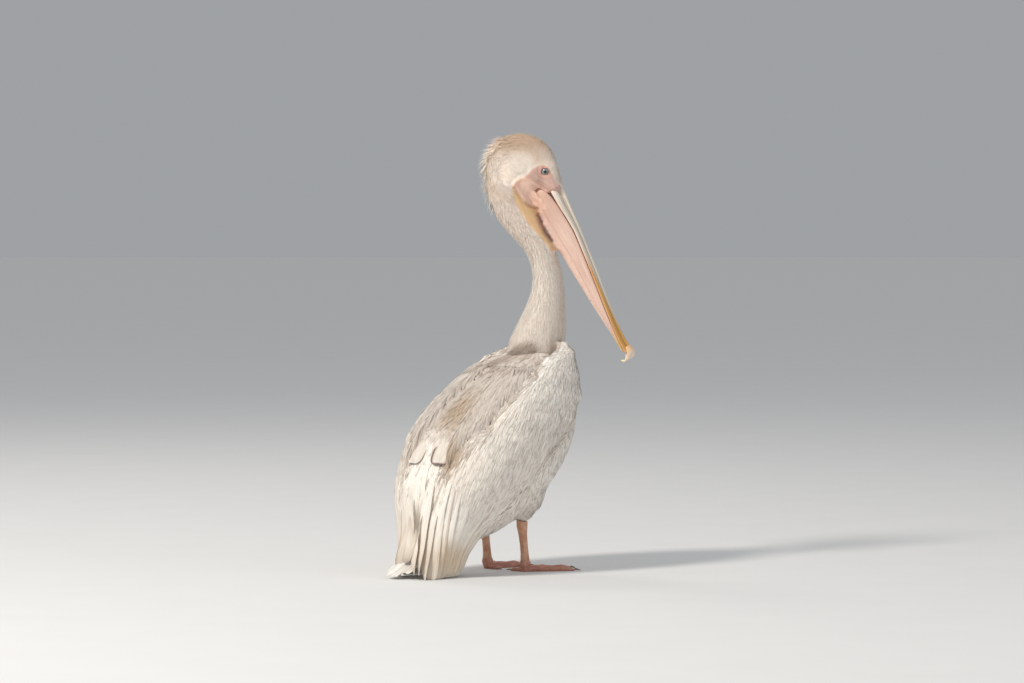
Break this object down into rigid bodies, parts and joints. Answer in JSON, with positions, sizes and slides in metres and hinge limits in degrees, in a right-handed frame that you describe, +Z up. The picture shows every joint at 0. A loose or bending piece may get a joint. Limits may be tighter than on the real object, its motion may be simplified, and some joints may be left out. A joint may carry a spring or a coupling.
{
  "type": "standing pelican figure",
  "caption": "Life-size still figure of a great white pelican standing upright on webbed feet and tail tip, wings folded, head turned over the right shoulder with its long bill pointing down",
  "frame": {"origin": "on the floor, under the middle of the bird's bounding box", "axes": "+X is the way the body faces, +Y its left side, +Z up"},
  "size_m": [0.5766, 0.3142, 0.917],
  "materials": {
    "plumage": "feathered, matte",
    "bill": "horn, satin",
    "nail": "horn, smooth",
    "pouch_skin": "bare skin, satin",
    "eye": "glossy",
    "leg_skin": "scaly skin, satin",
    "claw": "horn, satin"
  },
  "bodies": {
    "root": {"trunk": "plumage", "neck": "plumage", "head": "plumage", "tail": "plumage", "bill_upper": "bill", "bill_nail": "nail", "bill_lower": "bill", "pouch": "pouch_skin", "wing_right": "plumage", "wing_left": "plumage", "flight_feathers_right": "plumage", "flight_feathers_left": "plumage", "scapulars_right": "plumage", "scapulars_left": "plumage", "eye_right": "eye", "eye_left": "eye", "thigh_right": "plumage", "thigh_left": "plumage", "leg_right": "leg_skin", "leg_left": "leg_skin", "foot_right": "leg_skin", "foot_left": "leg_skin", "claw_right_inner": "claw", "claw_right_middle": "claw", "claw_right_outer": "claw", "claw_right_hind": "claw", "claw_left_inner": "claw", "claw_left_middle": "claw", "claw_left_outer": "claw", "claw_left_hind": "claw"}
  },
  "joints": []
}
